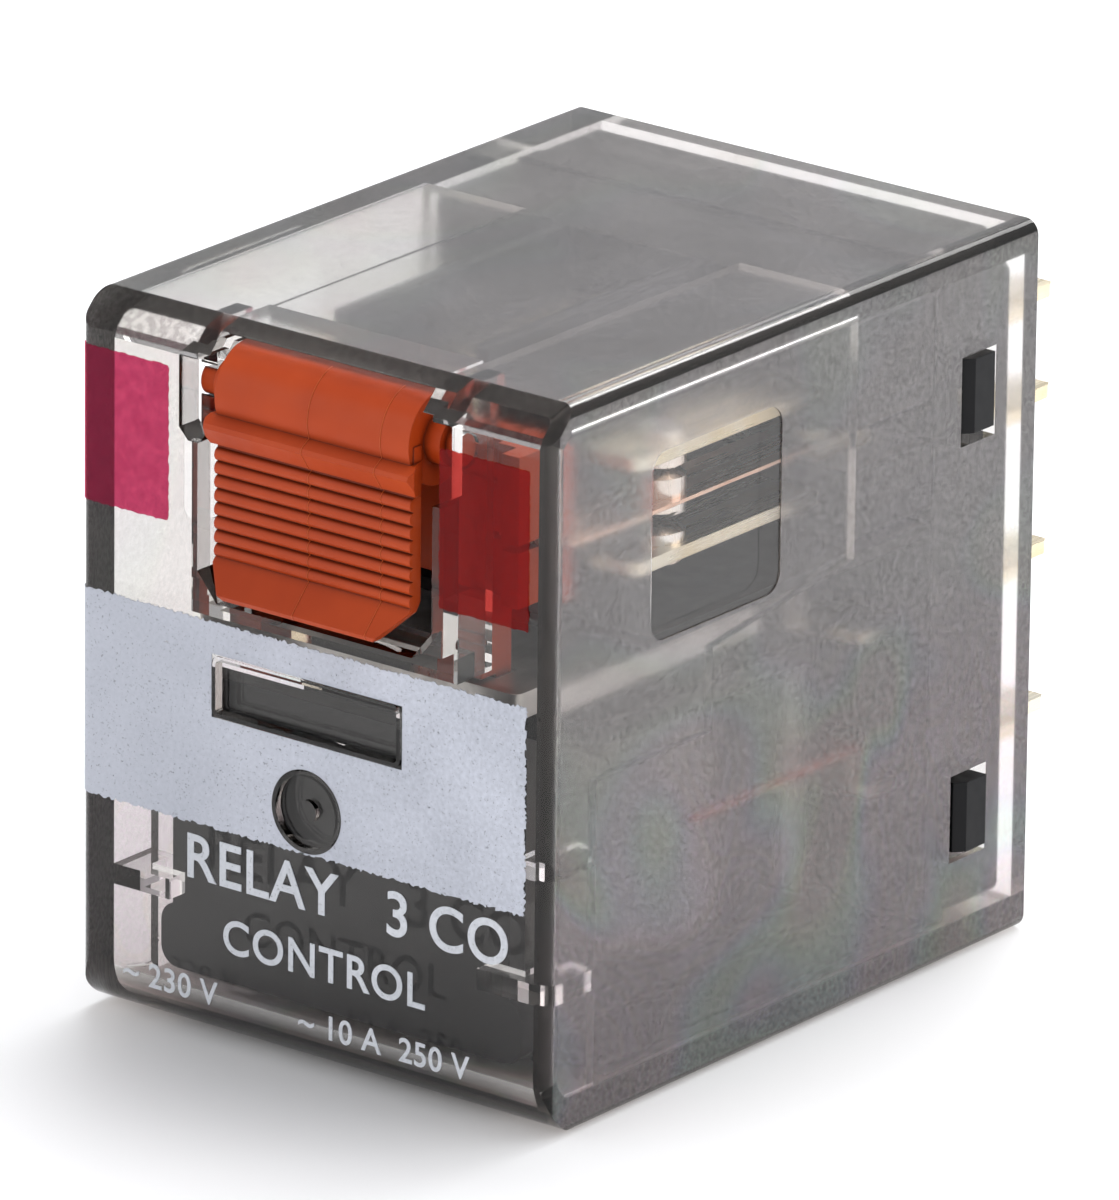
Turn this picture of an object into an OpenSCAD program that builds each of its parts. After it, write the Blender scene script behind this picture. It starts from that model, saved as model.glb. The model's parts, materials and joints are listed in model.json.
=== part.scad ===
// Plug-in industrial control relay with three changeover contacts, in millimetres.
// +Z is up, the front with the test lever faces -Y, and the blades point along +Y.
// The origin is the centre of the seat face that rests on the socket.

/* [Cover] */
// Width of the cover
cover_w = 22; // [21.6:0.1:23]
// Height of the cover
cover_h = 28; // [28:0.1:30]
// Depth of the cover from its front face to the seat plane
cover_d = 29; // [29:0.1:31]
// Wall thickness at the front and around the contacts
wall = 1.15; // [0.9:0.05:1.2]
// Extra thickness of the heavier parts of the walls
wall_step = 0.35; // [0.2:0.05:0.35]
// Chamfer along the top front edge
front_chamfer = 1.3; // [0.8:0.1:1.4]
// Radius along the bottom front edge
front_radius = 2.2; // [1.5:0.1:3]
// Radius of the long edges
edge_radius = 0.6; // [0.3:0.1:0.9]

/* [Contacts] */
// Distance from one pole to the next
pole_pitch = 6.6; // [6.6:0.05:6.7]
// Width of a plug blade
blade_w = 2.5; // [2.3:0.1:2.5]
// Thickness of a plug blade and its contact strip
blade_t = 0.5; // [0.4:0.05:0.5]
// Length of a blade behind the seat face
blade_out = 5.4; // [4.5:0.1:6]
// Thickness of a moving contact spring
leaf_t = 0.15; // [0.12:0.01:0.15]
// Gap between the open contact faces
contact_gap = 0.42; // [0.4:0.01:0.44]

/* [Coil] */
// Outside radius of the winding
winding_r = 6.9; // [6:0.1:6.9]
// Radius of the iron core
core_r = 2.6; // [2:0.1:2.8]
// Thickness of the armature
armature_t = 1.0; // [0.8:0.05:1.0]

/* [Test lever] */
// Width of the lever plate
lever_w = 9.1; // [8:0.1:9.2]
// Radius of the lever hub
hub_r = 1.8; // [1.6:0.05:1.8]
// Radius of the stub axles
axle_r = 0.62; // [0.5:0.01:0.62]
// Number of grip ribs on the lever
rib_count = 8; // [6:1:10]

/* [Hidden] */
$fn = 48;
tiny = 0.02;
fit_gap = 0.04;
front = -cover_d;
half_w = cover_w / 2;
half_h = cover_h / 2;
inner_front = front + wall;
inner_x = half_w - wall;
inner_z = half_h - wall;
thick_x = inner_x - wall_step;
top_step = 0.3;
inner_chamfer = 0.6;
pad_side = 5;
pad_front = -25.4;
step_back = -10.4;
field_recess = 0.06;
field_lo = [-23.25, 3.7];
field_hi = [-15.55, 10.95];
field_r = 0.8;
shelf_front = -25.7;
shelf_x = [8.75, 9.0];
shelf_nose_x = 7.2;
shelf_nose_y = -26.95;
shelf_low = [-9.0, -4.2];
shelf_top = [-8.2, -3.5];
latch_window_front = [-4.6, -4.8];
latch_window_back = [-2.5, -2.6];
latch_window_low = [6.3, -10.05];
latch_window_top = [9.8, -6.6];

// Heights of the four contact and blade rows
nc_z = 9.3;
no_z = 5.3;
com_z = -0.9;
coil_z = -7.15;
leaf_z = 7.2;
tab_t = 0.5;
pole_x = [-pole_pitch, 0, pole_pitch];
riser_side = [1, 1, -1];
riser_in = 1.75;
riser_w = 1.0;
riser_y = -7.6;
strip_end = -20.9;
rivet_y = -17.95;
rivet_r = 1.0;
leaf_hinge_y = -10.32;
leaf_end = -24.6;
leaf_taper_y = -21;
leaf_taper = 0.15;
blade_taper = [0.15, 0.3];
strip_r = 0.5;
stem_r = 0.5;
clamp_y = -8.9;
rivet_dome = 0.2;
tail_h = 0.3;
tail_r = 0.85;
nc_rivet_h = 0.72;
no_rivet_h = 0.6;
lug_y = -6.9;
lug_half = 0.6;
lug_h = 2.2;
lead_r = 0.16;
lead_x = 7.27;
lead_z = -5.5;
lead_front = -17.0;

// Base: the seat pad, the shoulder round it, the flange and the contact block
pad_x = 8.1;
pad_z = 11.3;
shoulder_y = -0.8;
flange_back = -4.2;
flange_front = -5.3;
block_front = -10.25;
deck_front = -22;
barrier_front = -23.4;
deck_z = 2.9;
deck_t = 0.5;
barrier_in = 3.0;
barrier_out = 3.6;
block_top = 12.3;
shoulder = [9.42, 12.5];
flange_x = 9.42;
flange_low = -12.78;
flange_top = 12.5;
bar_x = 9.3;
bar_low = [8.2, 4.0];
bar_top = [block_top, 6.6];
floor_front = -24.5;
tab_low = [6.8, -9.7];
tab_top = [9.7, -6.95];
tab_x = 11.25;
tab_root = 8.8;
tab_front = -4.5;
tab_back = -2.9;
tab_lead_in = [0.35, 0.4];
slot_play = 0.05;

// Magnet: the coil stands upright between the floor plate and the armature
coil_y = -17.4;
yoke_x = 6.0;
yoke_t = 1.2;
yoke_back = -8.5;
floor_z = -12.4;
hinge_y = yoke_back - yoke_t;
hinge_z = 0.85;
pole_z = hinge_z - 0.56;
bobbin_low = floor_z + yoke_t;
bobbin_top = -0.1;
flange_t = 0.9;
tube_r = core_r + 0.8;
tape_t = 0.2;
bobbin_x = 7.8;
bobbin_back = hinge_y - 0.62;
bobbin_waist = 3.4;
bobbin_nose = -24.9;
bobbin_shoulder = -23.1;
apron_front = -26.8;
apron_back = -25.9;
apron_foot = [8.45, -12.1, -9.55];
apron_plate = [7.9, -11.8, -0.3];
armature_front = -26;
armature_top = hinge_z + armature_t;

// Card that carries the armature's motion to the springs
card_front = -24.85;
card_back = -23.95;
card_leg_front = -25.7;
card_x = 7.25;
card_top = 10.8;
foot_in = 4.1;
foot_out = 5.6;
card_low = 5.0;
card_leg_in = 6.45;
card_slot = 0.07;
card_slot_x = 1.3;
ridge_z = 3.5;
ridge_r = 0.2;
hook_low = 0.15;
hook_reach = 0.4;
relief_x = 5.6;
relief_low = 9.2;
relief_depth = 0.3;

// Test lever and its well in the cover
axle_y = -27.4;
axle_z = 11.3;
well_x = 5.45;
well_low = 3.3;
well_top = 12.75;
notch_x = 4.95;
notch_top = 13.5;
ceiling_z = 13.3;
ceiling_back = -25.5;
cheek_t = 0.75;
cheek_back = -25.85;
sill_t = 0.8;
sill_short = 0.6;
axle_play = 0.06;
axle_slot = 0.55;
well_corner = [0.9, 1.1];
pocket_x = 6.33;
pocket_top = 12.5;
lever_low = 3.92;
lever_back = -28.5;
lever_face = front + 0.06;
tip_front = -30.05;
tip_back = -29.45;
bend_z = 5.35;
rib_r = 0.27;
rib_crest = front - 0.15;
rib_top = 9.1;
rib_low = 5.4;
ledge_x = 4.85;
hub_x = 4.5;
collar_r = 0.95;
collar_x = 5.25;
nose_lo = [-1.5, -28.6, 6.2];
nose_hi = [1.5, -27.0, 7.2];

smoke = [0.62, 0.6, 0.58, 0.35];
plated = [0.82, 0.78, 0.66];
contact_silver = [0.86, 0.85, 0.83];

// ---- Shared shapes ----

// Box between two corners
module block(lo, hi) {
  translate(lo) cube(hi - lo);
}

// Profile drawn in Y and Z, extruded from x0 to x1
module along_x(x0, x1) {
  translate([x0, 0, 0]) rotate([90, 0, 90]) linear_extrude(x1 - x0) children();
}

// Profile drawn in X and Z, extruded from y0 to y1
module along_y(y0, y1) {
  translate([0, y1, 0]) rotate([90, 0, 0]) linear_extrude(y1 - y0) children();
}

// Rectangle with true round corners, between two corners
module round_rect(lo, hi, r) {
  translate([lo[0] + r, lo[1]]) square([hi[0] - lo[0] - 2 * r, hi[1] - lo[1]]);
  translate([lo[0], lo[1] + r]) square([hi[0] - lo[0], hi[1] - lo[1] - 2 * r]);
  for (x = [lo[0] + r, hi[0] - r], z = [lo[1] + r, hi[1] - r])
    translate([x, z]) circle(r);
}

// The same shape on the left and on the right
module both_sides() {
  children();
  mirror([1, 0, 0]) children();
}

// Contact button with a domed face that points up
module button(r, h, dome) {
  sphere_r = (r * r + dome * dome) / (2 * dome);
  intersection() {
    cylinder(h = h, r = r);
    translate([0, 0, h - sphere_r]) sphere(sphere_r, $fn = 96);
  }
}

// ---- Cover ----

cover_side_points = [
  [front + front_chamfer, half_h], [0, half_h], [0, -half_h],
  [front + front_radius, -half_h], [front + front_radius, -half_h + front_radius],
  [front, -half_h + front_radius], [front, half_h - front_chamfer]
];

module cover_outside() {
  intersection() {
    along_x(-half_w, half_w) union() {
      polygon(cover_side_points);
      translate([front + front_radius, -half_h + front_radius]) circle(front_radius);
    }
    along_y(front, 0) round_rect([-half_w, -half_h], [half_w, half_h], edge_radius);
    translate([0, 0, -half_h]) linear_extrude(cover_h) difference() {
      round_rect([-half_w, front], [half_w, 2], 0.5);
      translate([-half_w, 0]) square([cover_w, 3]);
    }
  }
}

module cover_cavity() {
  inner_r = front_radius - wall;
  intersection() {
    along_x(-inner_x, inner_x) union() {
      polygon([
        [inner_front, inner_r - inner_z], [1, inner_r - inner_z], [1, inner_z],
        [inner_front + inner_chamfer, inner_z], [inner_front, inner_z - inner_chamfer]
      ]);
      translate([inner_front + inner_r, -inner_z]) square([1 - inner_front - inner_r, inner_r + 1]);
      translate([inner_front + inner_r, inner_r - inner_z]) circle(inner_r);
    }
    along_y(inner_front, 1) round_rect([-inner_x, -inner_z], [inner_x, inner_z], 0.3);
  }
}

// Thicker zone of the side walls: round the coil and behind the contacts
thick_zone = [
  [shelf_front, -inner_z - tiny], [shelf_front, -0.95], [-18.9, -0.95], [-18.9, 2.3], [step_back, 3.4],
  [step_back, inner_z + tiny], [0, inner_z + tiny], [0, -inner_z - tiny]
];

module cover_wall_steps() {
  both_sides() along_x(thick_x, inner_x + tiny) polygon(thick_zone);
  block([-pad_side, pad_front, inner_z - top_step], [pad_side, step_back, inner_z + tiny]);
  block([-inner_x, step_back, inner_z - top_step], [inner_x, 0, inner_z + tiny]);
}

// Clear side walls and floor of the well that the lever sits in
module cover_well() {
  difference() {
    union() {
      both_sides() block([well_x, inner_front - tiny, well_low - sill_t],
                         [well_x + cheek_t, cheek_back, inner_z + tiny]);
      block([-well_x, inner_front - tiny, well_low - sill_t], [well_x, cheek_back - sill_short, well_low]);
    }
    both_sides() translate([well_x - tiny, axle_y, axle_z]) rotate([0, 90, 0])
      cylinder(h = cheek_t + 2 * tiny, r = axle_r + axle_play);
    both_sides() block([well_x - tiny, inner_front - 1, axle_z - axle_slot],
                       [well_x + cheek_t + tiny, axle_y, axle_z + axle_slot]);
  }
}

// Small shelves in the lower front corners that steady the coil former
module cover_shelves() {
  both_sides() {
    block([shelf_nose_x, inner_front - tiny, shelf_low[0]], [inner_x + tiny, shelf_nose_y, shelf_top[0]]);
    for (i = [0, 1])
      block([shelf_x[i], inner_front - tiny, shelf_low[i]], [inner_x + tiny, shelf_front, shelf_top[i]]);
  }
}

window_lo = [-4.5, -0.87];
window_hi = [3.95, 1.15];
eye_x = -0.25;
eye_z = -3.75;
eye_r = 1.4;
window_depth = 0.3;
window_r = 0.15;
eye_depth = 0.2;
dimple_r = 0.42;
rim = 0.18;
rim_proud = 0.1;

module cover_openings() {
  // Opening for the lever, with chamfered lower corners, and its axle pockets
  along_y(front - 1, inner_front + tiny) polygon([
    [-well_x, well_top], [-notch_x, well_top], [-notch_x, notch_top], [notch_x, notch_top],
    [notch_x, well_top], [well_x, well_top], [well_x, well_low + well_corner[1]],
    [well_x - well_corner[0], well_low], [well_corner[0] - well_x, well_low],
    [-well_x, well_low + well_corner[1]]
  ]);
  along_y(front - 1, inner_front + tiny) both_sides()
    polygon([[5, pocket_top], [pocket_x, pocket_top], [pocket_x, 9.75], [5.9, 9.3], [5, 9.3]]);
  // Room over the lever hub
  block([-notch_x, inner_front - tiny, inner_z - 1], [notch_x, ceiling_back, ceiling_z]);
  // Shallow viewing windows in the front
  along_y(front - 1, front + window_depth) round_rect(window_lo, window_hi, window_r);
  along_y(front - 1, front + eye_depth) translate([eye_x, eye_z]) circle(eye_r);
  // Polished fields over the contacts
  both_sides() along_x(half_w - field_recess, half_w + 1) round_rect(field_lo, field_hi, field_r);
  // Windows for the latch tabs
  both_sides() for (i = [0, 1])
    block([thick_x - 1, latch_window_front[i], latch_window_low[i]],
          [half_w + 1, latch_window_back[i], latch_window_top[i]]);
}

module cover_window_rims() {
  along_y(front - rim_proud, front + eye_depth) difference() {
    round_rect(window_lo - [rim, rim], window_hi + [rim, rim], window_r + rim);
    round_rect(window_lo, window_hi, window_r);
  }
  along_y(front - rim_proud, front + eye_depth) translate([eye_x, eye_z]) difference() {
    circle(eye_r + rim);
    circle(eye_r);
  }
  along_y(front, front + window_depth) translate([eye_x, eye_z]) circle(dimple_r);
}

module cover() {
  color(smoke) union() {
    difference() {
      union() {
        difference() {
          cover_outside();
          cover_cavity();
        }
        cover_wall_steps();
        cover_shelves();
      }
      cover_openings();
    }
    cover_well();
    cover_window_rims();
  }
}

// ---- Base ----

// Slot for a blade or strip of a row, right through the base
module blade_slot(x, z, back) {
  half = blade_w / 2 + fit_gap;
  block([x - half, back, z - blade_t / 2 - fit_gap], [x + half, 1, z + blade_t / 2 + fit_gap]);
}

// Latch tab, seen from above, with a lead-in on its front corner
module latch_tab(z0, z1) {
  both_sides() translate([0, 0, z0]) linear_extrude(z1 - z0)
    polygon([
      [tab_root, tab_front], [tab_x - tab_lead_in[0], tab_front], [tab_x, tab_front + tab_lead_in[1]],
      [tab_x, tab_back], [tab_root, tab_back]
    ]);
}

// Left edge of a pole's COM riser
function riser_x(i) = pole_x[i] + (riser_side[i] > 0 ? riser_in : -riser_in - riser_w);

module base() {
  color([0.11, 0.11, 0.12]) difference() {
    union() {
      along_y(flange_back - tiny, shoulder_y) round_rect(-shoulder, shoulder, 0.5);
      along_y(shoulder_y - tiny, 0) round_rect([-pad_x, -pad_z], [pad_x, pad_z], 0.6);
      along_y(flange_front, flange_back) round_rect([-flange_x, flange_low], [flange_x, flange_top], 0.3);
      // Latch tabs, and the bars that hold the fixed contact strips
      for (i = [0, 1]) {
        latch_tab(tab_low[i], tab_top[i]);
        block([-bar_x, block_front, bar_low[i]], [bar_x, flange_front + tiny, bar_top[i]]);
      }
      // Deck over the armature, barriers between the poles, floor under the coil
      block([-bar_x, deck_front, deck_z], [bar_x, flange_front + tiny, deck_z + deck_t]);
      both_sides() block([barrier_in, barrier_front, deck_z + deck_t - tiny],
                         [barrier_out, flange_front + tiny, block_top]);
      block([-bar_x, floor_front, flange_low], [bar_x, flange_front + tiny, floor_z]);
    }
    for (x = pole_x) {
      blade_slot(x, nc_z, block_front - 1);
      blade_slot(x, no_z, block_front - 1);
      blade_slot(x, com_z, flange_front - 1);
    }
    for (side = [-1, 1])
      blade_slot(side * pole_pitch, coil_z, flange_front - 1);
    for (i = [0:2])
      block([riser_x(i) - slot_play, riser_y - slot_play, deck_z - 1],
            [riser_x(i) + riser_w + slot_play, riser_y + blade_t + slot_play, bar_top[1] + 0.1]);
  }
}

// ---- Coil and magnet ----

module bobbin() {
  color([0.13, 0.13, 0.14]) difference() {
    union() {
      translate([0, coil_y, bobbin_low]) cylinder(h = bobbin_top - bobbin_low, r = tube_r);
      block([-bobbin_x, apron_front, bobbin_low], [bobbin_x, bobbin_back, bobbin_low + flange_t]);
      // Upper flange, with its front corners cut back for the feet of the card
      translate([0, 0, bobbin_top - flange_t]) linear_extrude(flange_t) polygon([
        [-bobbin_x, bobbin_back], [bobbin_x, bobbin_back], [bobbin_x, bobbin_shoulder],
        [bobbin_waist, bobbin_shoulder], [bobbin_waist, bobbin_nose], [-bobbin_waist, bobbin_nose],
        [-bobbin_waist, bobbin_shoulder], [-bobbin_x, bobbin_shoulder]
      ]);
      // Apron in front of the coil
      along_y(apron_front, apron_back) union() {
        round_rect([-apron_foot[0], apron_foot[1]], [apron_foot[0], apron_foot[2]], 0.8);
        round_rect([-apron_plate[0], apron_plate[1]], [apron_plate[0], apron_plate[2]], 0.3);
      }
    }
    translate([0, coil_y, bobbin_low - 1]) cylinder(h = 14, r = core_r + tiny);
  }
}

module winding_ring(inside, outside) {
  low = bobbin_low + flange_t;
  high = bobbin_top - flange_t;
  translate([0, coil_y, low]) difference() {
    cylinder(h = high - low, r = outside);
    translate([0, 0, -1]) cylinder(h = high - low + 2, r = inside);
  }
}

module winding() {
  color([0.72, 0.4, 0.2]) winding_ring(tube_r, winding_r);
}

module coil_tape() {
  color([0.85, 0.8, 0.6]) winding_ring(winding_r, winding_r + tape_t);
}

shade_r = 3.3;
shade_w = 0.5;
shade_depth = 0.3;
shade_cut = 0.4;
shoe_r = 4;

// D-shaped outline over the back half of the pole face
module shade_outline(r, inset) {
  intersection() {
    circle(r);
    translate([-r, shade_cut + inset]) square([2 * r, r]);
  }
}

module shading_ring() {
  color([0.8, 0.46, 0.26]) translate([0, coil_y, pole_z - shade_depth])
    linear_extrude(shade_depth) difference() {
      shade_outline(shade_r, 0);
      shade_outline(shade_r - shade_w, shade_w);
    }
}

module core() {
  color([0.62, 0.62, 0.62]) difference() {
    union() {
      translate([0, coil_y, floor_z]) cylinder(h = pole_z - floor_z, r = core_r);
      translate([0, coil_y, bobbin_top]) cylinder(h = pole_z - bobbin_top, r = shoe_r);
    }
    translate([0, coil_y, pole_z - shade_depth]) linear_extrude(1) difference() {
      shade_outline(shade_r, 0);
      shade_outline(shade_r - shade_w, shade_w);
    }
  }
}

yoke_bend = 0.9;
yoke_front = -23;

module yoke() {
  color([0.66, 0.66, 0.65]) difference() {
    along_x(-yoke_x, yoke_x) union() {
      translate([yoke_front, floor_z]) square([yoke_back - yoke_bend - yoke_front, yoke_t]);
      translate([hinge_y, floor_z + yoke_bend]) square([yoke_t, hinge_z - floor_z - yoke_bend]);
      translate([yoke_back - yoke_bend, floor_z + yoke_bend]) circle(yoke_bend);
    }
    translate([0, coil_y, floor_z - 1]) cylinder(h = 4, r = core_r);
  }
}

armature_x = 7.5;
armature_neck = 5.8;
armature_step = -13;
foot_play = 0.15;

// Horizontal plate that tips about the yoke's top edge
module armature() {
  color([0.72, 0.71, 0.69]) difference() {
    translate([0, 0, hinge_z]) linear_extrude(armature_t) union() {
      round_rect([-armature_x, armature_front], [armature_x, armature_step], 0.4);
      translate([-armature_neck, armature_step - 1])
        square([2 * armature_neck, yoke_back - armature_step + 1]);
    }
    both_sides() block([foot_in - foot_play, card_front - foot_play, hinge_z - 1],
                       [foot_out + foot_play, card_back + foot_play + 0.05, armature_top + 1]);
  }
}

back_spring_t = 0.2;
back_spring_x = 1.4;
back_spring_low = -4;
back_spring_end = -10.4;
back_spring_lift = 0.35;

module armature_spring() {
  top = armature_top + back_spring_t;
  bend_y = yoke_back - 0.8;
  color([0.8, 0.78, 0.7]) along_x(-back_spring_x, back_spring_x) polygon([
    [yoke_back, back_spring_low], [yoke_back + back_spring_t, back_spring_low],
    [yoke_back + back_spring_t, armature_top + 0.15], [yoke_back, top + 0.15], [bend_y, top],
    [back_spring_end, top + back_spring_lift], [back_spring_end, armature_top + back_spring_lift],
    [bend_y, armature_top], [yoke_back - 0.1, armature_top + 0.1], [yoke_back, armature_top]
  ]);
}

module actuator_card() {
  color([0.85, 0.3, 0.13]) difference() {
    union() {
      block([-card_x, card_front, card_low], [card_x, card_back, card_top]);
      both_sides() {
        block([card_leg_in, card_leg_front, card_low], [card_x, card_front + tiny, card_top]);
        block([foot_in, card_leg_front, armature_top + 0.1], [foot_out, card_back, card_low + tiny]);
        // Small ridge across the foot
        translate([foot_in, card_leg_front, ridge_z]) rotate([0, 90, 0])
          cylinder(h = foot_out - foot_in, r = ridge_r);
        // Neck through the armature and the hook under it
        block([foot_in, card_front, hook_low], [foot_out, card_back, armature_top + 0.2]);
        block([foot_in - hook_reach, card_front, hook_low],
              [foot_out + hook_reach, card_back, hinge_z - 0.1]);
      }
    }
    for (x = pole_x)
      block([x - card_slot_x, card_front - 1, leaf_z - card_slot],
            [x + card_slot_x, card_back + 1, leaf_z + leaf_t + card_slot]);
    // Relief in front of the lever hub
    block([-relief_x, card_front - 1, relief_low], [relief_x, card_front + relief_depth, card_top + 1]);
  }
}

// ---- Test lever ----

// Side profile of the lever: plate with a flared tip, grip ledge and hub
module lever_plate() {
  along_x(-lever_w / 2, lever_w / 2) polygon([
    [lever_back, axle_z], [lever_back, bend_z], [tip_back, lever_low], [tip_front + 0.12, lever_low],
    [tip_front, lever_low + 0.2], [lever_face, bend_z - 0.05], [lever_face, axle_z]
  ]);
}

module test_lever() {
  rib_pitch = (rib_top - rib_low) / (rib_count - 1);
  color([0.83, 0.29, 0.12]) union() {
    intersection() {
      union() {
        lever_plate();
        for (i = [0:rib_count - 1])
          translate([-lever_w / 2, rib_crest + rib_r, rib_low + i * rib_pitch]) rotate([0, 90, 0])
            cylinder(h = lever_w, r = rib_r, $fn = 24);
      }
      // Lower corners cut off at a slant
      along_y(front - 2, -25) polygon([
        [-lever_w / 2, 13], [lever_w / 2, 13], [lever_w / 2, 5.0], [3.5, lever_low],
        [-3.5, lever_low], [-lever_w / 2, 5.0]
      ]);
    }
    // Grip ledge with its ends cut at a slant
    intersection() {
      along_x(-ledge_x, ledge_x) polygon([
        [-28.2, 10.75], [-29.1, 10.65], [-29.52, 10.38], [-29.58, 10.2], [-29.1, 9.5], [-28.55, 9.4]
      ]);
      translate([0, 0, 9]) linear_extrude(2)
        polygon([
          [-ledge_x, -29.3], [0.15 - ledge_x, -29.65], [ledge_x - 0.15, -29.65], [ledge_x, -29.3],
          [ledge_x - 0.5, -28], [0.5 - ledge_x, -28]
        ]);
    }
    translate([-hub_x, axle_y, axle_z]) rotate([0, 90, 0]) cylinder(h = 2 * hub_x, r = hub_r, $fn = 96);
    both_sides() translate([hub_x - 0.1, axle_y, axle_z]) rotate([0, 90, 0]) {
      cylinder(h = collar_x - hub_x + 0.1, r = collar_r);
      cylinder(h = well_x + cheek_t - hub_x, r = axle_r);
    }
    // Nose behind the plate that reaches towards the card
    block(nose_lo, nose_hi);
  }
}

// ---- Terminals and contacts ----

// Flat blade with a tapered tip, from y0 to the blade's end
module blade(x, z, y0) {
  half = blade_w / 2;
  translate([x, 0, z - blade_t / 2]) linear_extrude(blade_t) polygon([
    [-half, y0], [half, y0], [half, blade_out - blade_taper[1]], [half - blade_taper[0], blade_out],
    [blade_taper[0] - half, blade_out], [-half, blade_out - blade_taper[1]]
  ]);
}

// Fixed contact strip in one piece with its blade, with a hole for its rivet
module strip_terminal(x, z) {
  color(plated) difference() {
    union() {
      blade(x, z, strip_end + 0.6);
      translate([x, 0, z - blade_t / 2]) linear_extrude(blade_t)
        round_rect([-blade_w / 2, strip_end], [blade_w / 2, strip_end + 3], strip_r);
    }
    translate([x, rivet_y, z - 1]) cylinder(h = 2, r = stem_r);
  }
}

module nc_terminal(i) {
  strip_terminal(pole_x[i], nc_z);
}

module no_terminal(i) {
  strip_terminal(pole_x[i], no_z);
}

// Common terminal: a blade, a riser beside the NO strip and the tab that holds the spring
module com_terminal(i) {
  x = pole_x[i];
  half = blade_w / 2;
  left = min(x - half, riser_x(i));
  right = max(x + half, riser_x(i) + riser_w);
  low = com_z - blade_t / 2;
  color(plated) difference() {
    union() {
      blade(x, com_z, riser_y);
      block([left, riser_y, low], [right, riser_y + 1.6, low + blade_t]);
      block([riser_x(i), riser_y, low], [riser_x(i) + riser_w, riser_y + blade_t, leaf_z]);
      block([left, block_front + 0.05, leaf_z - tab_t], [right, riser_y + blade_t, leaf_z]);
      block([x - half, block_front, leaf_z - tiny], [x + half, riser_y, leaf_z + leaf_t]);
    }
    translate([x, clamp_y, leaf_z - 1]) cylinder(h = 2, r = stem_r);
  }
}

// Rivet of a fixed strip: head h high with its domed face pointing along dir
module fixed_rivet(x, z, dir, h) {
  translate([x, rivet_y, z]) mirror([0, 0, dir > 0 ? 0 : 1]) {
    translate([0, 0, blade_t / 2]) button(rivet_r, h, rivet_dome);
    translate([0, 0, -blade_t / 2 - tail_h]) cylinder(h = tail_h, r = tail_r);
    translate([0, 0, -blade_t / 2 - tail_h / 2]) cylinder(h = blade_t + tail_h, r = stem_r);
  }
}

moving_top = nc_z - blade_t / 2 - nc_rivet_h - 0.05;
moving_low = no_z + blade_t / 2 + no_rivet_h + contact_gap;

module nc_rivets() {
  color(contact_silver) for (x = pole_x) fixed_rivet(x, nc_z, -1, nc_rivet_h);
}

module no_rivets() {
  color(contact_silver) for (x = pole_x) fixed_rivet(x, no_z, 1, no_rivet_h);
}

module spring_rivets() {
  color(contact_silver) for (x = pole_x) translate([x, clamp_y, 0]) {
    translate([0, 0, leaf_z - tab_t]) cylinder(h = tab_t + leaf_t, r = stem_r);
    translate([0, 0, leaf_z + leaf_t]) button(0.8, 0.3, 0.12);
  }
}

module contact_spring(i) {
  x = pole_x[i];
  half = blade_w / 2;
  color([0.8, 0.5, 0.36]) translate([0, 0, leaf_z]) linear_extrude(leaf_t) difference() {
    polygon([
      [x - half, leaf_hinge_y], [x + half, leaf_hinge_y], [x + half, leaf_taper_y],
      [x + half - leaf_taper, leaf_end], [x - half + leaf_taper, leaf_end], [x - half, leaf_taper_y]
    ]);
    translate([x, rivet_y]) circle(stem_r);
  }
}

module moving_rivet(i) {
  top = leaf_z + leaf_t;
  color(contact_silver) translate([pole_x[i], rivet_y, 0]) {
    translate([0, 0, top]) button(rivet_r, moving_top - top, rivet_dome);
    translate([0, 0, leaf_z]) mirror([0, 0, 1]) button(rivet_r, leaf_z - moving_low, rivet_dome);
    translate([0, 0, leaf_z - 0.1]) cylinder(h = leaf_t + 0.2, r = stem_r);
  }
}

// Coil blade with an upright lug for the lead
module coil_terminal(side) {
  x = side * pole_pitch;
  low = coil_z - blade_t / 2;
  color(plated) union() {
    blade(x, coil_z, lug_y);
    block([x - lug_half, lug_y, low], [x + lug_half, lug_y + blade_t, low + lug_h]);
  }
}

// Straight stretch of lead with round ends
module lead_run(a, length, turn) {
  translate(a) rotate(turn) cylinder(h = length, r = lead_r, $fn = 24);
  translate(a) sphere(lead_r, $fn = 24);
}

// Lead from the winding's tape, back past the yoke, to the lug of its terminal
module coil_lead(side) {
  back = lug_y - lead_r;
  color([0.75, 0.25, 0.15]) mirror([side > 0 ? 0 : 1, 0, 0]) union() {
    lead_run([lead_x, lead_front, lead_z], back - lead_front, [-90, 0, 0]);
    lead_run([lead_x, back, lead_z], lead_x - pole_pitch + 0.3, [0, -90, 0]);
  }
}

cover();
base();
bobbin();
winding();
coil_tape();
core();
shading_ring();
yoke();
armature();
armature_spring();
actuator_card();
test_lever();
nc_terminal(0);  // nc_terminal_1
nc_terminal(1);  // nc_terminal_2
nc_terminal(2);  // nc_terminal_3
no_terminal(0);  // no_terminal_1
no_terminal(1);  // no_terminal_2
no_terminal(2);  // no_terminal_3
com_terminal(0);  // com_terminal_1
com_terminal(1);  // com_terminal_2
com_terminal(2);  // com_terminal_3
nc_rivets();
no_rivets();
spring_rivets();
contact_spring(0);  // contact_spring_1
contact_spring(1);  // contact_spring_2
contact_spring(2);  // contact_spring_3
moving_rivet(0);  // moving_rivet_1
moving_rivet(1);  // moving_rivet_2
moving_rivet(2);  // moving_rivet_3
coil_terminal(-1);  // coil_terminal_1
coil_terminal(1);  // coil_terminal_2
coil_lead(-1);  // coil_lead_1
coil_lead(1);  // coil_lead_2
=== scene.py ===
"""The looks of a plug-in control relay, built around its CAD model. Lengths are metres."""

import json
import math
import random

import bmesh
import bpy
from mathutils import Matrix, Vector
from mathutils.bvhtree import BVHTree


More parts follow.
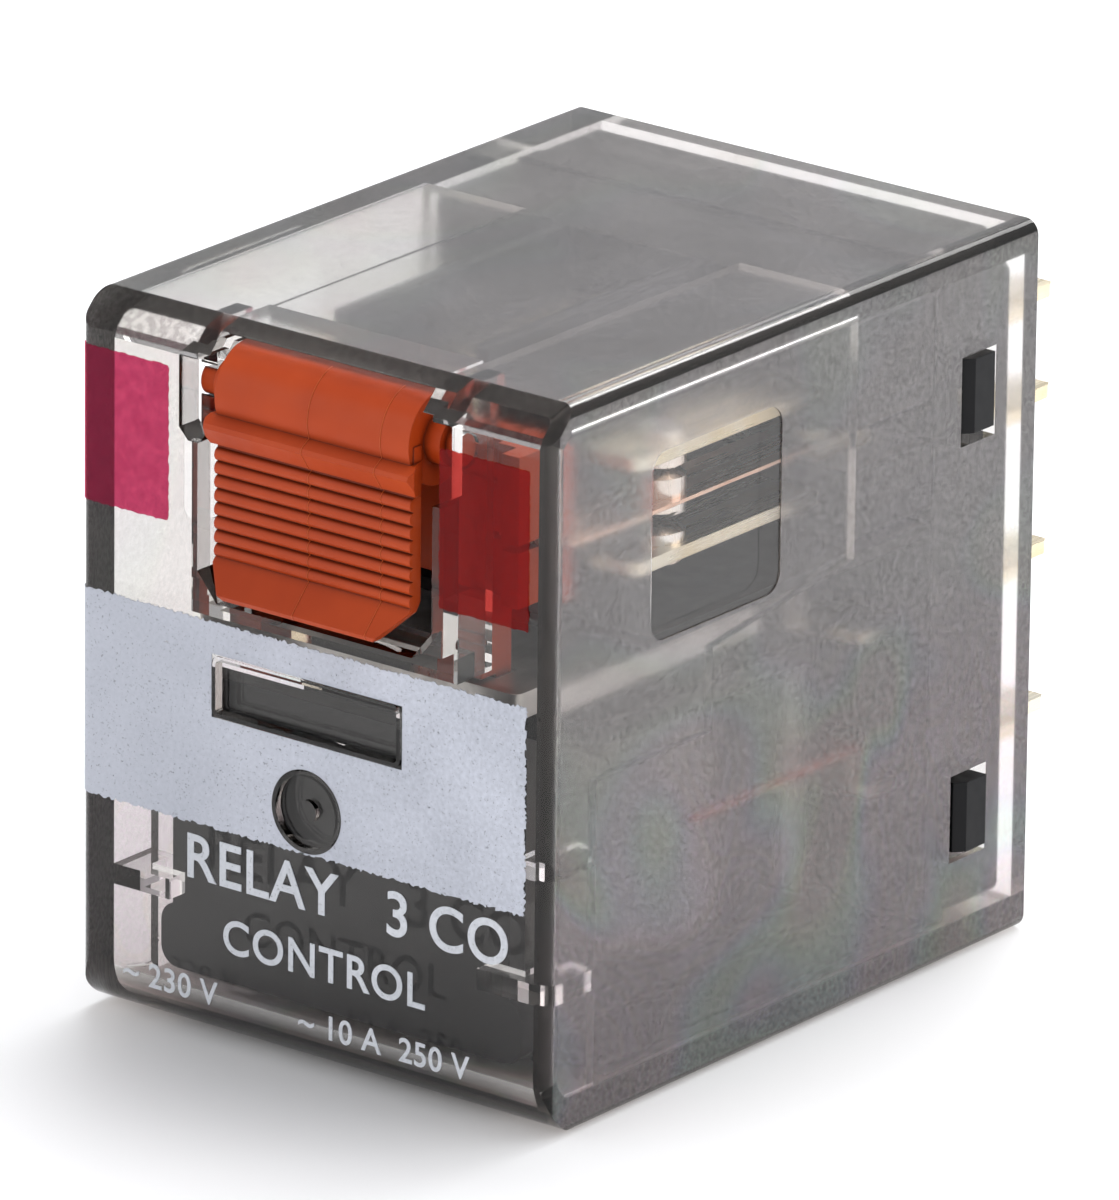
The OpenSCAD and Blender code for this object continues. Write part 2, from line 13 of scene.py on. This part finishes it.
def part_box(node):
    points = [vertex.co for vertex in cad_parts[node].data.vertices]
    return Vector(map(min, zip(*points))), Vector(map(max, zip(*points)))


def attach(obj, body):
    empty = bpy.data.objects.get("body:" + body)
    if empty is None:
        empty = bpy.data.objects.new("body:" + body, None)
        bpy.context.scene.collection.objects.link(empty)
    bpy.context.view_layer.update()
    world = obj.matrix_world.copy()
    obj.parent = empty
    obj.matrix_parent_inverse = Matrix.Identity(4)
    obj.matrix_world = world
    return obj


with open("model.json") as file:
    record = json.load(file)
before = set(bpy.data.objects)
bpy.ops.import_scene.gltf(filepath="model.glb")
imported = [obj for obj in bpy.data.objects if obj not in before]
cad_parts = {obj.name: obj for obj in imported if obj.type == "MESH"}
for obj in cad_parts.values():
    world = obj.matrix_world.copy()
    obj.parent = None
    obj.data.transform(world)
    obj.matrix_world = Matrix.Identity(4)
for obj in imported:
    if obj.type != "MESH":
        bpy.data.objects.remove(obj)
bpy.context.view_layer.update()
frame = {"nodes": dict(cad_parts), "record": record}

MM = 0.001
SEED = 7
COVER_LOW, COVER_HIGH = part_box("cover")
HALF_W = COVER_HIGH.x
HALF_H = COVER_HIGH.z
FRONT = -29 * MM
CORNER_R = 0.5 * MM
# A little more than the chamfer, so that a mask takes in the whole of its face
CHAMFER = 1.34 * MM

# The camera, in degrees, and lens and sensor in millimetres
AZIMUTH, ELEVATION, ROLL = 37.87, 19.52, 0.65
LENS, SENSOR = 462, 36
CAMERA_AWAY = 570 * MM
CAMERA_TARGET = Vector((-0.07, -14.4, 0.5)) * MM

# Printed ink: its thickness, and how far its middle stands off the front
INK = 0.03 * MM
INK_LIFT = 0.022 * MM

# Height of a capital as a share of the font's size, and how much bolder the letters are drawn
CAPITAL_SHARE = 0.72
BOLDER = 0.018

# Width of the lever plate, in millimetres
LEVER_W = 9.1


# ---- Camera, floor and light ----


def turned(azimuth, elevation):
    """The direction that a camera at this azimuth and elevation looks along."""
    a, e = math.radians(azimuth), math.radians(elevation)
    return Vector((-math.cos(e) * math.sin(a), math.cos(e) * math.cos(a), -math.sin(e)))


def add_camera():
    forward = turned(AZIMUTH, ELEVATION)
    level = forward.cross(Vector((0, 0, 1))).normalized()
    up = level.cross(forward)
    roll = math.radians(ROLL)
    right = level * math.cos(roll) + up * math.sin(roll)
    up = right.cross(forward)
    data = bpy.data.cameras.new("camera")
    data.sensor_width = SENSOR
    data.lens = LENS
    data.clip_start = 0.01
    data.clip_end = 20
    camera = bpy.data.objects.new("camera", data)
    turn = Matrix((right, up, -forward)).transposed().to_4x4()
    camera.matrix_world = Matrix.Translation(CAMERA_TARGET - forward * CAMERA_AWAY) @ turn
    bpy.context.collection.objects.link(camera)
    bpy.context.scene.camera = camera


def add_area(name, direction, distance, size, power, tint=(1, 1, 1)):
    """A square soft light at a distance from the relay, in a direction from it."""
    data = bpy.data.lights.new(name, "AREA")
    data.size = size
    data.energy = power
    data.color = tint
    light = bpy.data.objects.new(name, data)
    away = Vector(direction).normalized()
    light.matrix_world = (
        Matrix.Translation(Vector((0, FRONT / 2, 0)) + away * distance)
        @ away.to_track_quat("Z", "Y").to_matrix().to_4x4()
    )
    bpy.context.collection.objects.link(light)


def add_studio():
    world = bpy.data.worlds.new("studio")
    world.use_nodes = True
    world.node_tree.nodes["Background"].inputs["Color"].default_value = (0.96, 0.97, 1, 1)
    world.node_tree.nodes["Background"].inputs["Strength"].default_value = 0.66
    bpy.context.scene.world = world
    add_area("key", (-0.15, 0.55, 1.0), 0.5, 0.4, 2.6)
    add_area("fill", (-1.0, -1.3, 0.5), 0.6, 0.5, 0.9)
    add_area("rim", (0.9, 0.5, 0.8), 0.6, 0.4, 1.4)
    bpy.ops.mesh.primitive_plane_add(size=6, location=(0, 0, COVER_LOW.z - 0.02 * MM))
    floor = bpy.context.object
    floor.name = "floor"
    floor.data.materials.append(floor_material())
    bpy.context.scene.view_settings.view_transform = "Standard"


# ---- Materials ----


class Maker:
    """A material's node tree, with short calls for the nodes that are used again and again."""

    def __init__(self, name):
        self.material = bpy.data.materials.new(name)
        self.material.use_nodes = True
        self.tree = self.material.node_tree
        self.shader = self.tree.nodes["Principled BSDF"]
        self.output = self.tree.nodes["Material Output"]

    def node(self, kind, **inputs):
        node = self.tree.nodes.new("ShaderNode" + kind)
        self.set(node, **inputs)
        return node

    def set(self, node, **inputs):
        for name, value in inputs.items():
            socket = node.inputs[int(name[1:]) if name[1:].isdigit() else name.replace("_", " ")]
            if isinstance(value, bpy.types.NodeSocket):
                self.tree.links.new(value, socket)
            else:
                socket.default_value = value

    def shade(self, **inputs):
        self.set(self.shader, **inputs)

    def place(self):
        """The point's own place in the row frame."""
        return self.node("TexCoord").outputs["Object"]

    def stretched(self, scale):
        return self.node("Mapping", Vector=self.place(), Scale=scale).outputs[0]

    def noise(self, scale, detail=2.0, rough=0.5, vector=None, distortion=0.0):
        node = self.node(
            "TexNoise", Vector=vector or self.place(), Scale=scale, Detail=detail,
            Roughness=rough, Distortion=distortion,
        )
        return node.outputs[0]

    def ramp(self, value, low, high, out_low=0.0, out_high=1.0):
        """value from low to high becomes out_low to out_high, and stays there outside."""
        node = self.node("MapRange", Value=value)
        for index, number in enumerate((low, high, out_low, out_high), 1):
            node.inputs[index].default_value = number
        return node.outputs[0]

    def math(self, operation, a, b=0.0):
        node = self.node("Math", _0=a, _1=b)
        node.operation = operation
        return node.outputs[0]

    def mix(self, factor, a, b):
        node = self.node("Mix")
        node.data_type = "RGBA"
        self.set(node, _0=factor, _6=a, _7=b)
        return node.outputs[2]

    def bump(self, height, strength, distance, normal=None):
        node = self.node("Bump", Height=height, Strength=strength, Distance=distance)
        if normal is not None:
            self.set(node, Normal=normal)
        return node.outputs[0]

    def painted_groove_shade(self, reach):
        """A mask for painted shade, from ambient occlusion: 0 in a narrow groove and 1 on an open face."""
        node = self.node("AmbientOcclusion", Distance=reach)
        node.samples = 8
        return self.ramp(node.outputs["AO"], 0.45, 0.95)

    def soft_edges(self, radius):
        node = self.node("Bevel", Radius=radius)
        node.samples = 4
        return node.outputs[0]


def rgb(r, g, b):
    return (r, g, b, 1.0)


def floor_material():
    m = Maker("studio_floor")
    tone = m.ramp(m.noise(3.0), 0.3, 0.7, 0.0, 1.0)
    m.shade(Base_Color=m.mix(tone, rgb(0.88, 0.88, 0.885), rgb(0.9, 0.9, 0.9)), Roughness=0.6)
    m.shader.inputs["Specular IOR Level"].default_value = 0.2
    return m.material


def smoked_clear():
    """Smoke tinted polycarbonate: the outer skins of the sides, top and bottom are frosted."""
    m = Maker("smoked_clear")
    x, y, z = m.node("SeparateXYZ", Vector=m.place()).outputs
    skin = 0.03 * MM
    side = m.math("GREATER_THAN", m.math("ABSOLUTE", x), HALF_W - skin)
    ends = m.math("GREATER_THAN", m.math("ABSOLUTE", z), HALF_H - skin)
    frosted = m.math("MAXIMUM", side, ends)
    chamfer = m.math("GREATER_THAN", m.math("SUBTRACT", z, y), HALF_H - FRONT - CHAMFER)
    chamfer = m.math("MULTIPLY", chamfer, m.math("SUBTRACT", 1.0, frosted))
    textured = m.math("MAXIMUM", frosted, chamfer)
    grain = m.ramp(m.noise(2400.0, 3.0), 0.3, 0.7, 0.14, 0.19)
    smudge = m.ramp(m.noise(170.0, 4.0, 0.6), 0.45, 0.75, 0.012, 0.045)
    rough = m.math("ADD", m.math("MULTIPLY", textured, grain), smudge)
    speck = m.math("MULTIPLY", m.noise(9000.0, 1.0), m.math("MULTIPLY", textured, 0.5))
    coarse = m.math("MULTIPLY", m.noise(5200.0, 1.0), m.math("MULTIPLY", chamfer, 0.3))
    height = m.math("ADD", m.math("ADD", speck, coarse), m.math("MULTIPLY", hairlines(m), 0.35))
    cloud = m.math("MULTIPLY", frosted, m.ramp(m.noise(160.0, 2.0), 0.3, 0.7, 0.035, 0.07))
    cloud = m.math("ADD", cloud, m.math("MULTIPLY", side, 0.05))
    haze = m.math("MULTIPLY", cloud, m.ramp(m.noise(5200.0, 2.0), 0.35, 0.65, 0.6, 1.4))
    stress = m.noise(75.0, 1.0, distortion=1.2)
    depth = m.ramp(z, -4 * MM, 2 * MM, 0.28, 0.08)
    hue = m.node("CombineColor", _0=m.ramp(stress, 0.35, 0.65, 0.0, 2.0), _1=depth, _2=0.98)
    hue.mode = "HSV"
    warm = m.mix(0.35, hue.outputs[0], rgb(0.93, 0.88, 0.83))
    pitted = m.mix(m.ramp(m.noise(7000.0, 2.0), 0.35, 0.6), rgb(0.85, 0.83, 0.82), warm)
    skin_colour = m.mix(frosted, rgb(0.985, 0.98, 0.975), pitted)
    # Painted shade: the chamfer is tinted darker than the clear skin, in a flecked mix of two greys
    fleck = m.ramp(m.noise(3600.0, 2.0), 0.42, 0.62)
    chamfer_painted_shade = m.mix(fleck, rgb(0.5, 0.47, 0.46), rgb(0.9, 0.87, 0.85))
    m.shade(
        Base_Color=m.mix(chamfer, skin_colour, chamfer_painted_shade), Roughness=rough, IOR=1.58,
        Transmission_Weight=m.math("SUBTRACT", 1.0, haze), Normal=m.bump(height, 0.1, 0.02 * MM),
    )
    m.shader.inputs["Specular Tint"].default_value = rgb(0.5, 0.49, 0.48)
    see_lamps(m, (0.6, 0.58, 0.56))
    absorb = m.node("VolumeAbsorption", Color=rgb(0.31, 0.27, 0.235), Density=175.0)
    m.tree.links.new(absorb.outputs[0], m.output.inputs["Volume"])
    return m.material


def hairlines(m):
    """Sparse fine scratches in two directions: 1 on a scratch and 0 beside it."""
    lines = []
    for angle, stretch in ((0.5, (260.0, 9.0, 260.0)), (2.1, (200.0, 200.0, 8.0))):
        turned = m.node("Mapping", Vector=m.place(), Rotation=(angle, angle, 0.0), Scale=stretch).outputs[0]
        lines.append(m.ramp(m.noise(4.0, 2.0, vector=turned), 0.70, 0.72))
    return m.math("MAXIMUM", *lines)


def see_lamps(m, tint):
    """Lets lamps through a clear surface with this tint, as thin glass does."""
    shadow = m.node("LightPath").outputs["Is Shadow Ray"]
    clear = m.node("BsdfTransparent", Color=rgb(*tint))
    mixed = m.node("MixShader", _0=shadow, _1=m.shader.outputs[0], _2=clear.outputs[0])
    m.tree.links.new(mixed.outputs[0], m.output.inputs["Surface"])


def moulded(name, colour, dark, rough, edge=0.06, grain=9000.0, gloss=0.25, painted_shade_level=0.3):
    """Injection moulded plastic: slight flow marks in the colour, a fine eroded skin, and painted shade
    that darkens the colour in grooves and hollows.
    """
    m = Maker(name)
    flow = m.ramp(m.noise(260.0, 3.0, vector=m.stretched((1, 1, 0.35))), 0.35, 0.65)
    fine = m.noise(grain, 2.0)
    # Painted shade: in grooves the colour falls to the dark colour scaled down by this level
    painted_groove_colour = rgb(*(painted_shade_level * c for c in dark))
    m.shade(
        Base_Color=m.mix(m.painted_groove_shade(0.4 * MM), painted_groove_colour, m.mix(flow, rgb(*dark), rgb(*colour))),
        Roughness=m.ramp(m.noise(1500.0, 3.0), 0.3, 0.7, rough - 0.06, rough + 0.07),
        Normal=m.bump(fine, 0.10, 0.01 * MM, m.soft_edges(edge * MM)),
    )
    m.shader.inputs["Specular IOR Level"].default_value = gloss
    return m.material


def metal(name, colour, tarnish, rough, brush=(4000.0, 120.0, 4000.0), edge=0.04):
    """Rolled strip metal: fine lines along its length and a patchy tarnish."""
    m = Maker(name)
    lines = m.noise(1.0, 3.0, vector=m.stretched(brush))
    patch = m.ramp(m.noise(420.0, 4.0), 0.42, 0.68)
    m.shade(
        Base_Color=m.mix(patch, rgb(*colour), rgb(*tarnish)),
        Metallic=1.0,
        Roughness=m.ramp(lines, 0.3, 0.7, rough - 0.07, rough + 0.1),
        Normal=m.bump(lines, 0.03, 0.005 * MM, m.soft_edges(edge * MM)),
    )
    return m.material


def wound_wire():
    m = Maker("copper_wire")
    turn_bands_and_gap_shade = m.node("TexWave", Vector=m.place(), Scale=1300.0, Distortion=0.4)
    turn_bands_and_gap_shade.bands_direction = "Z"
    # The wave gives the turns' bump and also painted shade: the colour darkens in the gaps between turns
    m.shade(
        Base_Color=m.mix(turn_bands_and_gap_shade.outputs[1], rgb(0.28, 0.09, 0.03), rgb(0.78, 0.34, 0.14)),
        Metallic=1.0, Roughness=m.ramp(m.noise(2000.0), 0.3, 0.7, 0.25, 0.4),
        Normal=m.bump(turn_bands_and_gap_shade.outputs[1], 0.6, 0.05 * MM),
    )
    return m.material


def ink(name, colour, dark, cover, holes, grain=5200.0):
    """Printed ink: grainy, with small gaps where the film did not cover, and painted light that makes its
    colour lighter towards +x.
    """
    m = Maker(name)
    x = m.node("SeparateXYZ", Vector=m.place()).outputs[0]
    cloud = m.ramp(m.noise(240.0, 3.0), 0.3, 0.7)
    tone = m.mix(0.5, m.ramp(m.noise(grain, 3.0), 0.3, 0.7), cloud)
    # Painted light: the colour grows 1.3 times lighter from x = -8 mm to x = 9 mm
    painted_light_ramp = m.mix(m.ramp(x, -8 * MM, 9 * MM), rgb(*colour), rgb(*(1.3 * c for c in colour)))
    gaps = m.ramp(m.noise(grain * 1.7, 3.0, 0.7), holes, holes + 0.08, 0.15, cover)
    m.shade(
        Base_Color=m.mix(tone, rgb(*dark), painted_light_ramp),
        Roughness=m.ramp(tone, 0, 1, 0.45, 0.6),
        Alpha=gaps,
        Normal=m.bump(tone, 0.25, 0.02 * MM),
    )
    return m.material


def clear_ink(name, film, deep, body, grain=2600.0):
    """See-through colour ink: it tints what is behind it, and a little of it is opaque body."""
    m = Maker(name)
    tone = m.ramp(m.noise(grain, 4.0, 0.6), 0.3, 0.7)
    tint = m.node("BsdfTransparent", Color=m.mix(tone, rgb(*deep), rgb(*film)))
    m.shade(Base_Color=rgb(*body), Roughness=m.ramp(tone, 0, 1, 0.25, 0.4))
    mixed = m.node("MixShader", _0=0.16, _1=tint.outputs[0], _2=m.shader.outputs[0])
    m.tree.links.new(mixed.outputs[0], m.output.inputs["Surface"])
    return m.material


def make_materials():
    return {
        "smoked_clear": smoked_clear(),
        "black_plastic": moulded("black_plastic", (0.012, 0.012, 0.013), (0.008, 0.008, 0.009), 0.42,
                                 gloss=0.15),
        "orange_plastic": moulded("orange_plastic", (0.47, 0.058, 0.008), (0.39, 0.044, 0.006), 0.40,
                                  gloss=0.2),
        "orange_flash": moulded("orange_flash", (0.62, 0.11, 0.025), (0.5, 0.08, 0.015), 0.35, painted_shade_level=0.8),
        "copper_wire": wound_wire(),
        "copper": metal("copper", (0.86, 0.44, 0.26), (0.6, 0.28, 0.16), 0.3),
        "tape": moulded("tape", (0.16, 0.15, 0.14), (0.12, 0.11, 0.1), 0.3),
        "soft_iron": metal("soft_iron", (0.6, 0.6, 0.59), (0.4, 0.39, 0.37), 0.35, (900.0, 900.0, 900.0)),
        "plated_steel": metal("plated_steel", (0.5, 0.48, 0.46), (0.34, 0.32, 0.3), 0.36),
        "spring_steel": metal("spring_steel", (0.72, 0.71, 0.69), (0.55, 0.54, 0.52), 0.25),
        "plated_brass": metal("plated_brass", (0.86, 0.8, 0.66), (0.78, 0.66, 0.44), 0.27),
        "spring_bronze": metal("spring_bronze", (0.93, 0.66, 0.52), (0.8, 0.5, 0.36), 0.27),
        "contact_silver": metal("contact_silver", (0.92, 0.89, 0.85), (0.88, 0.74, 0.64), 0.25,
                                (2500.0, 2500.0, 300.0)),
        "lead_enamel": moulded("lead_enamel", (0.4, 0.07, 0.03), (0.3, 0.05, 0.02), 0.3),
    }


def dress_nodes(materials):
    """Gives every CAD node its slot's material."""
    slots = {s["node"]: s["material_slot"] for s in frame["record"]["subparts"]}
    for name, thing in frame["nodes"].items():
        thing.data.materials.clear()
        thing.data.materials.append(materials[slots[name]])


# ---- Shapes of the added pieces ----


def new_piece(name, mesh, material, body):
    piece = bpy.data.objects.new(name, mesh)
    bpy.context.collection.objects.link(piece)
    piece.data.materials.clear()
    piece.data.materials.append(material)
    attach(piece, body)
    return piece


def curve_mesh(name, curve):
    """The mesh of a curve or text, which is removed."""
    thing = bpy.data.objects.new(name, curve)
    bpy.context.collection.objects.link(thing)
    bpy.context.view_layer.update()
    shown = thing.evaluated_get(bpy.context.evaluated_depsgraph_get())
    mesh = bpy.data.meshes.new_from_object(shown)
    bpy.data.objects.remove(thing)
    return mesh


def outline_mesh(name, loops, depth):
    """A flat plate of this depth in the X-Y plane, from an outline and its holes."""
    curve = bpy.data.curves.new(name, "CURVE")
    curve.dimensions = "2D"
    curve.fill_mode = "BOTH"
    curve.extrude = depth / 2
    for loop in loops:
        spline = curve.splines.new("POLY")
        spline.points.add(len(loop) - 1)
        for point, (u, v) in zip(spline.points, loop):
            point.co = (u, v, 0, 1)
        spline.use_cyclic_u = True
    return curve_mesh(name, curve)


def rough_rectangle(low, high, corner, step, jitter, rng):
    """Points round a rectangle with round corners, moved a little off its outline."""
    corners = [
        ((high[0] - corner, low[1] + corner), -90), ((high[0] - corner, high[1] - corner), 0),
        ((low[0] + corner, high[1] - corner), 90), ((low[0] + corner, low[1] + corner), 180),
    ]
    shape = []
    for (cx, cy), start in corners:
        for k in range(5):
            a = math.radians(start + 22.5 * k)
            shape.append(Vector((cx + corner * math.cos(a), cy + corner * math.sin(a))))
    points = []
    for a, b in zip(shape, shape[1:] + shape[:1]):
        count = max(1, round((b - a).length / step))
        for k in range(count):
            point = a.lerp(b, k / count)
            away = Vector((rng.uniform(-1, 1), rng.uniform(-1, 1))) * jitter
            points.append(tuple(point + away))
    return points


def circle_points(centre, radius, count):
    turn_bands_and_gap_shade = [2 * math.pi * k / count for k in range(count)]
    return [(centre[0] + radius * math.cos(t), centre[1] + radius * math.sin(t)) for t in turn_bands_and_gap_shade]


def on_front(mesh, lift):
    """Lays a flat mesh on the cover's front, and round its two upright edges."""
    flat = bmesh.new()
    flat.from_mesh(mesh)
    straight = HALF_W - CORNER_R
    quarter = CORNER_R * math.pi / 2
    for side in (-1, 1):
        for k in range(7):
            cut = side * (straight + quarter * k / 6)
            everything = flat.verts[:] + flat.edges[:] + flat.faces[:]
            bmesh.ops.bisect_plane(flat, geom=everything, plane_co=(cut, 0, 0), plane_no=(1, 0, 0))
    for v in flat.verts:
        u, height, out = v.co
        out += lift
        side = math.copysign(1, u)
        past = abs(u) - straight
        if past <= 0:
            v.co = (u, FRONT - out, height)
        elif past < quarter:
            a = past / CORNER_R
            reach = CORNER_R + out
            v.co = (side * (straight + reach * math.sin(a)), FRONT + CORNER_R - reach * math.cos(a), height)
        else:
            v.co = (side * (HALF_W + out), FRONT + CORNER_R + past - quarter, height)
    bmesh.ops.recalc_face_normals(flat, faces=flat.faces[:])
    flat.to_mesh(mesh)
    flat.free()
    return mesh


def add_print(name, low, high, material, holes=(), corner=0.1, jitter=0.03, step=0.12):
    """An ink field on the front, in millimetres across and up."""
    rng = random.Random(SEED + len(name))
    low, high = Vector(low) * MM, Vector(high) * MM
    edge = rough_rectangle(low, high, corner * MM, step * MM, jitter * MM, rng)
    mesh = on_front(outline_mesh(name, [edge, *holes], INK), INK_LIFT)
    return new_piece(name, mesh, material, "root")


def add_prints():
    white = ink("white_ink", (0.50, 0.52, 0.585), (0.41, 0.43, 0.49), 0.97, 0.30)
    magenta = clear_ink("magenta_ink", (0.82, 0.30, 0.45), (0.70, 0.22, 0.36), (0.62, 0.045, 0.15))
    red = clear_ink("red_ink", (0.80, 0.28, 0.25), (0.72, 0.22, 0.20), (0.5, 0.03, 0.03))
    left, right, low, high = -4.72 * MM, 4.17 * MM, -1.09 * MM, 1.37 * MM
    window = [(left, low), (right, low), (right, high), (left, high)]
    eye = circle_points((-0.25 * MM, -3.75 * MM), 1.62 * MM, 48)
    add_print("write_on_field", (-11.0, -5.4), (9.85, 2.6), white,
              holes=(window, eye), jitter=0.07, step=0.09)
    add_print("colour_patch_left", (-11.1, 6.0), (-6.8, 12.0), magenta)
    add_print("colour_patch_right", (5.8, 5.5), (9.9, 11.6), red)


def add_text(name, words, left, base, size, material, spacing):
    """Plain lettering on the front: left end, base line and capital height in millimetres."""
    text = bpy.data.curves.new(name, "FONT")
    text.body = words
    text.size = size * MM / CAPITAL_SHARE
    text.space_character = spacing
    text.extrude = INK / 2
    text.offset = BOLDER * size * MM
    mesh = curve_mesh(name, text)
    mesh.transform(Matrix.Translation((left * MM, base * MM, 0)))
    return new_piece(name, on_front(mesh, INK_LIFT), material, "root")


def add_lettering():
    white = ink("letter_ink", (0.60, 0.62, 0.66), (0.5, 0.52, 0.56), 0.97, 0.30)
    for name, words, left, base, size, spacing in (
        ("letters_type", "RELAY", -6.0, -7.55, 1.75, 1.05),
        ("letters_poles", "3 CO", 3.4, -7.55, 1.75, 1.05),
        ("letters_use", "CONTROL", -4.2, -10.1, 1.35, 1.08),
        ("letters_coil", "~ 230 V", -8.9, -12.35, 0.95, 1.05),
        ("letters_rating", "~ 10 A  250 V", -0.6, -12.35, 0.95, 1.05),
    ):
        add_text(name, words, left, base, size, white, spacing)


def tube_along(name, points, radius, sides=8):
    """A thin round bead through these points."""
    curve = bpy.data.curves.new(name, "CURVE")
    curve.dimensions = "3D"
    curve.bevel_depth = radius
    curve.bevel_resolution = sides // 4
    curve.use_fill_caps = True
    spline = curve.splines.new("POLY")
    spline.points.add(len(points) - 1)
    for point, place in zip(spline.points, points):
        point.co = (*place, 1)
    return curve_mesh(name, curve)


def add_lever_witness_lines(material):
    """The joint lines that the mould's inserts leave across the face of the lever."""
    lever = frame["nodes"]["test_lever"]
    face = BVHTree.FromObject(lever, bpy.context.evaluated_depsgraph_get())
    low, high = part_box("test_lever")
    for index, share in enumerate((0.48, 0.85), 1):
        x = (share - 0.5) * LEVER_W * MM
        points = []
        height = low.z + 0.02 * MM
        while height < high.z - 0.02 * MM:
            hit = face.ray_cast(Vector((x, -40 * MM, height)), Vector((0, 1, 0)))[0]
            if hit is not None:
                points.append(hit)
            height += 0.04 * MM
        mesh = tube_along(f"witness_line_{index}", points, 0.022 * MM)
        new_piece(f"witness_line_{index}", mesh, material, "test_lever")


# ---- Put together ----

add_camera()
add_studio()
materials = make_materials()
dress_nodes(materials)
add_prints()
add_lettering()
add_lever_witness_lines(materials["orange_flash"])
